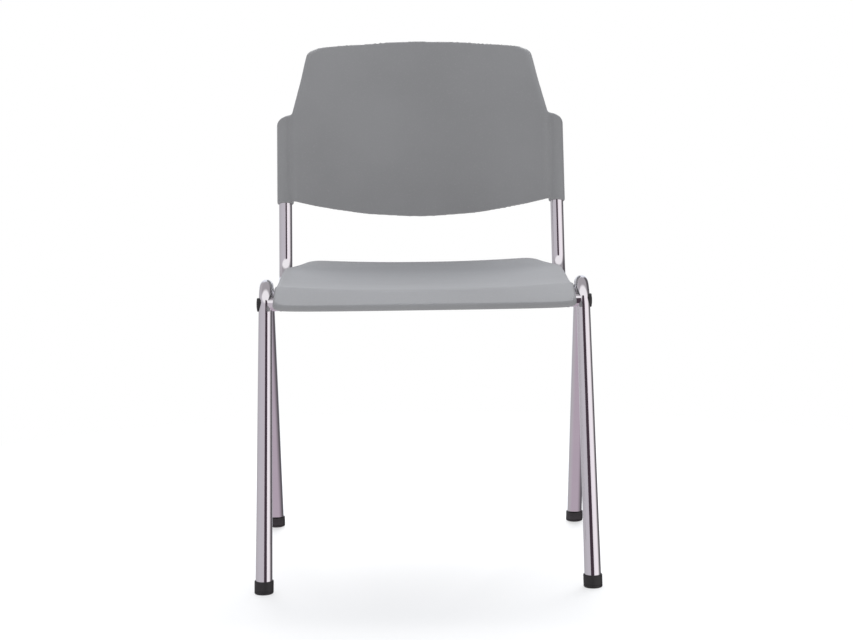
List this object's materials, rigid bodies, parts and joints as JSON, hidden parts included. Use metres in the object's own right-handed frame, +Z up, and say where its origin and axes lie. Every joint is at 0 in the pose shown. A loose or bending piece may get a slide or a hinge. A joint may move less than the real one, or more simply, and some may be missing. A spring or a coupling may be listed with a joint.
{
  "type": "stacking chair",
  "caption": "Stacking chair with bent steel tube leg frames, a moulded plastic seat and a curved backrest sleeved on its upright tubes.",
  "frame": {"origin": "on the floor under the middle of the chair's bounding box", "axes": "+Z up, the sitter faces -Y, +X to the sitter's left"},
  "size_m": [0.5492, 0.5772, 0.8362],
  "materials": {
    "chrome_tube": "polished chrome plate",
    "grey_shell": "fine moulded grain",
    "black_plastic": "satin",
    "zinc_steel": "bright zinc plate"
  },
  "bodies": {
    "root": {"leg_frame_right": "chrome_tube", "leg_frame_left": "chrome_tube", "back_tube_right": "chrome_tube", "back_tube_left": "chrome_tube", "front_cross_tube": "chrome_tube", "rear_cross_tube": "chrome_tube", "seat_shell": "grey_shell", "backrest_shell": "grey_shell", "foot_front_right": "black_plastic", "foot_front_left": "black_plastic", "foot_rear_right": "black_plastic", "foot_rear_left": "black_plastic", "leg_plug_front_right": "black_plastic", "leg_plug_front_left": "black_plastic", "leg_plug_rear_right": "black_plastic", "leg_plug_rear_left": "black_plastic", "top_plug_right": "black_plastic", "top_plug_left": "black_plastic", "leg_bolt_front_right": "zinc_steel", "leg_bolt_front_left": "zinc_steel", "leg_bolt_rear_right": "zinc_steel", "leg_bolt_rear_left": "zinc_steel", "cross_nut_right": "zinc_steel", "cross_nut_left": "zinc_steel", "rail_bush_right": "zinc_steel", "rail_bush_left": "zinc_steel", "seat_bracket_front_right": "zinc_steel", "seat_bracket_front_left": "zinc_steel", "seat_bracket_rear_right": "zinc_steel", "seat_bracket_rear_left": "zinc_steel", "seat_screw_front_right": "zinc_steel", "seat_screw_front_left": "zinc_steel", "seat_screw_rear_right": "zinc_steel", "seat_screw_rear_left": "zinc_steel", "back_screw_right": "zinc_steel", "back_screw_left": "zinc_steel"}
  },
  "joints": []
}
